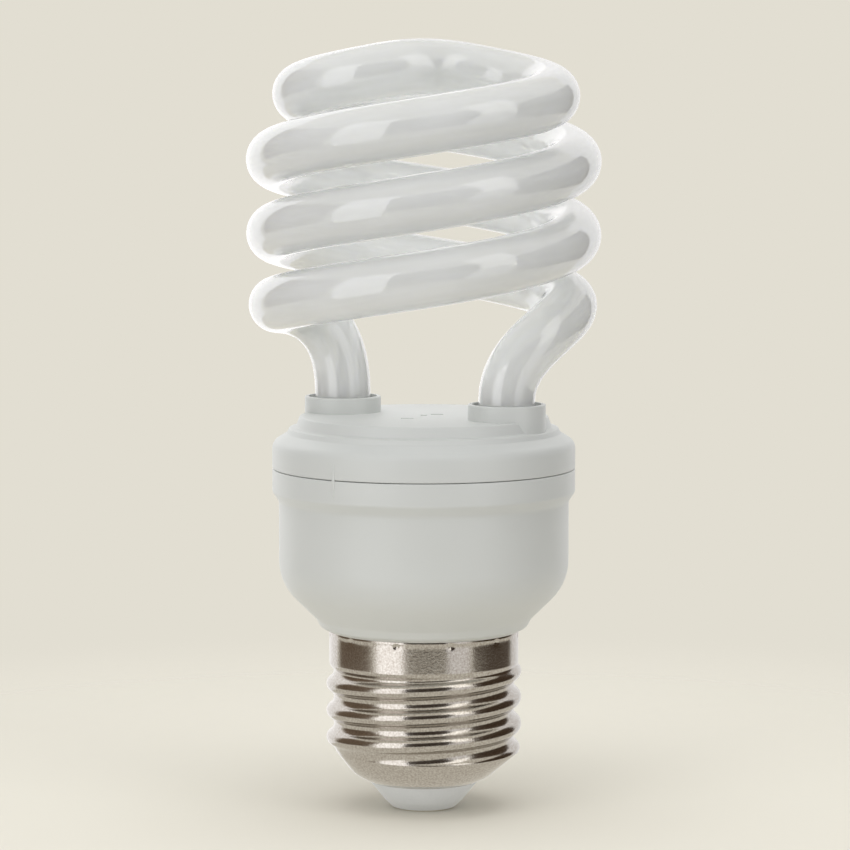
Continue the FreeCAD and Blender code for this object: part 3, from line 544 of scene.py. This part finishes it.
# floor, world and studio lamps, in metres; bearings are degrees round from the camera, right positive
studio = {"paper": "#E2DED2", "floor": "#E4E0D4", "lamp": "#FFFFFF", "ambient": 0.42, "aim": (0, 0, 0.075),
          "floorR": 0.16, "floorFade": 0.13, "floorRoughness": 0.9, "cardRoughness": 0.95}
softboxes = {
    "leftBox": {"bearing": -42, "up": 6, "away": 0.6, "w": 0.39, "h": 0.8, "roll": 0, "power": 1.15,
                "lights": "all", "inGloss": True, "passesTube": False},
    "rightBox": {"bearing": 46, "up": 28, "away": 0.6, "w": 0.27, "h": 0.62, "roll": 10, "power": 0.55,
                 "lights": "all", "inGloss": True, "passesTube": False},
    "frontFill": {"bearing": -15, "up": 52, "away": 0.8, "w": 0.5, "h": 0.5, "roll": 0, "power": 0.8,
                  "lights": "all", "inGloss": False, "passesTube": True},
    "topBox": {"bearing": 0, "up": 88, "away": 0.8, "w": 0.9, "h": 0.9, "roll": 0, "power": 1.7,
               "lights": "all", "inGloss": False, "passesTube": False},
    "floorBox": {"bearing": 180, "up": 84, "away": 0.85, "w": 2.0, "h": 2.0, "roll": 0, "power": 7.0,
                 "lights": "floor", "inGloss": False, "passesTube": False},
    "backLeft": {"bearing": -150, "up": 12, "away": 0.7, "w": 0.5, "h": 0.9, "roll": 0, "power": 2.6,
                 "lights": "bulb", "inGloss": False, "passesTube": False},
    "backRight": {"bearing": 150, "up": 12, "away": 0.7, "w": 0.5, "h": 0.9, "roll": 0, "power": 1.8,
                  "lights": "bulb", "inGloss": False, "passesTube": False},
}
# a weak lamp inside the spiral, for the light that its turns pass on to each other
coreFill = {"power": 0.0033, "r": 0.008, "z": 0.078}
# cards that only reflections see: dull felt between the softboxes, lit card beside them and behind
cards = {
    "leftFlag": {"bearing": -95, "up": 8.6, "away": 0.5, "w": 0.57, "h": 0.5, "roll": 0,
                 "sheet": "wool felt", "colour": "#83705D", "glow": 0.0},
    "frontFlag": {"bearing": 4.5, "up": 10.5, "away": 0.55, "w": 0.6, "h": 0.5, "roll": 0,
                  "sheet": "wool felt", "colour": "#44382F", "glow": 0.0},
    "rightFlag": {"bearing": 96, "up": 8.6, "away": 0.5, "w": 0.72, "h": 0.5, "roll": 0,
                  "sheet": "wool felt", "colour": "#4A3826", "glow": 0.0},
    "boxCard": {"bearing": -42, "up": 6, "away": 0.63, "w": 0.41, "h": 0.84, "roll": 0,
                "sheet": "lit card", "colour": "#44382F", "glow": 0.5},
    "lowCard": {"bearing": 43, "up": -4, "away": 0.6, "w": 0.3, "h": 0.3, "roll": 0,
                "sheet": "lit card", "colour": "#44382F", "glow": 0.9},
    "leftCard": {"bearing": -155, "up": 8, "away": 0.6, "w": 0.6, "h": 0.8, "roll": 0,
                 "sheet": "lit card", "colour": "#44382F", "glow": 1.15},
    "rightCard": {"bearing": 158, "up": 8, "away": 0.6, "w": 0.6, "h": 0.8, "roll": 0,
                  "sheet": "lit card", "colour": "#44382F", "glow": 0.9},
}


def hang(thing, s):
    b, u = math.radians(s["bearing"]), math.radians(s["up"])
    out = Vector((math.sin(b) * math.cos(u), -math.cos(b) * math.cos(u), math.sin(u)))
    roll = Matrix.Rotation(math.radians(s["roll"]), 3, "Z").to_quaternion()
    thing.location = Vector(studio["aim"]) + out * s["away"]
    thing.rotation_mode = "QUATERNION"
    thing.rotation_quaternion = out.to_track_quat("Z", "Y") @ roll


def linkGroup(name, thing, state):
    group = bpy.data.collections.new(name)
    group.objects.link(thing)
    group.collection_objects[0].light_linking.link_state = state
    return group


def hangSoftboxes(floor, spiral):
    through = linkGroup("passes the tube", spiral, "EXCLUDE")  # the coat lets the front light through
    groups = {"all": None, "floor": linkGroup("lights floor", floor, "INCLUDE"),
              "bulb": linkGroup("lights bulb", floor, "EXCLUDE")}
    for name, s in softboxes.items():
        lamp = bpy.data.lights.new(name, "AREA")
        lamp.shape = "RECTANGLE"
        lamp.size = s["w"]
        lamp.size_y = s["h"]
        lamp.energy = s["power"]
        box = bpy.data.objects.new(name, lamp)
        scene.collection.objects.link(box)
        hang(box, s)
        box.visible_camera = False
        box.visible_glossy = s["inGloss"]  # cards and paper show in place of the others
        box.light_linking.receiver_collection = groups[s["lights"]]
        if s["passesTube"]:
            box.light_linking.blocker_collection = through


def lightCore():
    lamp = bpy.data.lights.new("coreFill", "POINT")
    lamp.energy = coreFill["power"]
    lamp.shadow_soft_size = coreFill["r"]
    core = bpy.data.objects.new("coreFill", lamp)
    scene.collection.objects.link(core)
    core.location = (0, 0, coreFill["z"])
    core.visible_camera = False
    core.visible_glossy = False


def hangCards():
    for name, s in cards.items():
        sheet = newMaterial(s["sheet"], Roughness=studio["cardRoughness"], Base_Color=linear(s["colour"]),
                            Emission_Color=linear(studio["lamp"]), Emission_Strength=s["glow"])[0]
        bm = bmesh.new()
        bmesh.ops.create_grid(bm, x_segments=1, y_segments=1, size=0.5)
        card = asObject(bm, name)
        card.data.materials.append(sheet)
        hang(card, s)
        card.scale = (s["w"], s["h"], 1)
        for ray in ("camera", "diffuse", "shadow", "transmission"):
            setattr(card, "visible_" + ray, False)


# matt paper, lit evenly, that fades into the paper behind
def layFloor():
    material, tree, shader, place = newMaterial(
        "paper floor", Roughness=studio["floorRoughness"], Base_Color=linear(studio["floor"]),
        Specular_IOR_Level=0.0)
    far = addNode(tree, "ShaderNodeVectorMath", {0: place}, operation="LENGTH")
    fade = addNode(tree, "ShaderNodeMapRange", {
        "Value": far.outputs["Value"], "From Min": studio["floorR"] - studio["floorFade"],
        "From Max": studio["floorR"]}, interpolation_type="SMOOTHSTEP")
    clear = addNode(tree, "ShaderNodeBsdfTransparent")
    blend = addNode(tree, "ShaderNodeMixShader", {
        0: fade.outputs[0], 1: shader.outputs[0], 2: clear.outputs[0]})
    tree.links.new(blend.outputs[0], tree.nodes["Material Output"].inputs["Surface"])
    bm = bmesh.new()
    bmesh.ops.create_circle(bm, cap_ends=True, segments=96, radius=studio["floorR"])
    floor = asObject(bm, "paperFloor")
    floor.data.materials.append(material)
    floor.visible_glossy = False  # reflections see the even paper
    return floor


def paperWorld():
    world = bpy.data.worlds.new("paper world")
    world.use_nodes = True
    scene.world = world
    tree = world.node_tree
    tree.nodes.clear()
    rays = addNode(tree, "ShaderNodeLightPath")
    direct = addNode(tree, "ShaderNodeMath", {
        0: rays.outputs["Is Camera Ray"], 1: rays.outputs["Is Glossy Ray"]}, operation="MAXIMUM")
    seen = addNode(tree, "ShaderNodeMath", {
        0: direct.outputs[0], 1: rays.outputs["Is Transmission Ray"]}, operation="MAXIMUM")
    paper = addNode(tree, "ShaderNodeBackground", {"Color": linear(studio["paper"]), "Strength": 1.0})
    ambient = addNode(tree, "ShaderNodeBackground", {
        "Color": linear(studio["lamp"]), "Strength": studio["ambient"]})
    mixed = addNode(tree, "ShaderNodeMixShader", {
        0: seen.outputs[0], 1: ambient.outputs[0], 2: paper.outputs[0]})
    addNode(tree, "ShaderNodeOutputWorld", {"Surface": mixed.outputs[0]})


hangSoftboxes(layFloor(), spiral)
lightCore()
hangCards()
paperWorld()
print("studio:", len(softboxes), "softboxes,", len(cards), "cards")

# the photo's camera: half a metre off, a little above, with a long lens
camera = {"away": 0.5, "up": 6.25, "lookAt": 0.046, "focalPx": 3735.0, "aimPx": (423.8, 467.0),
          "picture": 850, "sensor": 36.0}


def placeCamera():
    c = camera
    up = math.radians(c["up"])
    data = bpy.data.cameras.new("camera")
    data.sensor_width = c["sensor"]
    data.lens = c["focalPx"] / c["picture"] * c["sensor"]
    eye = bpy.data.objects.new("camera", data)
    scene.collection.objects.link(eye)
    eye.location = (0, -c["away"] * math.cos(up), c["lookAt"] + c["away"] * math.sin(up))
    right = math.atan((c["picture"] / 2 - c["aimPx"][0]) / c["focalPx"])
    raised = math.atan((c["aimPx"][1] - c["picture"] / 2) / c["focalPx"])
    eye.rotation_euler = (math.pi / 2 - up + raised, 0, -right)
    scene.camera = eye


placeCamera()
scene.view_settings.view_transform = "Standard"
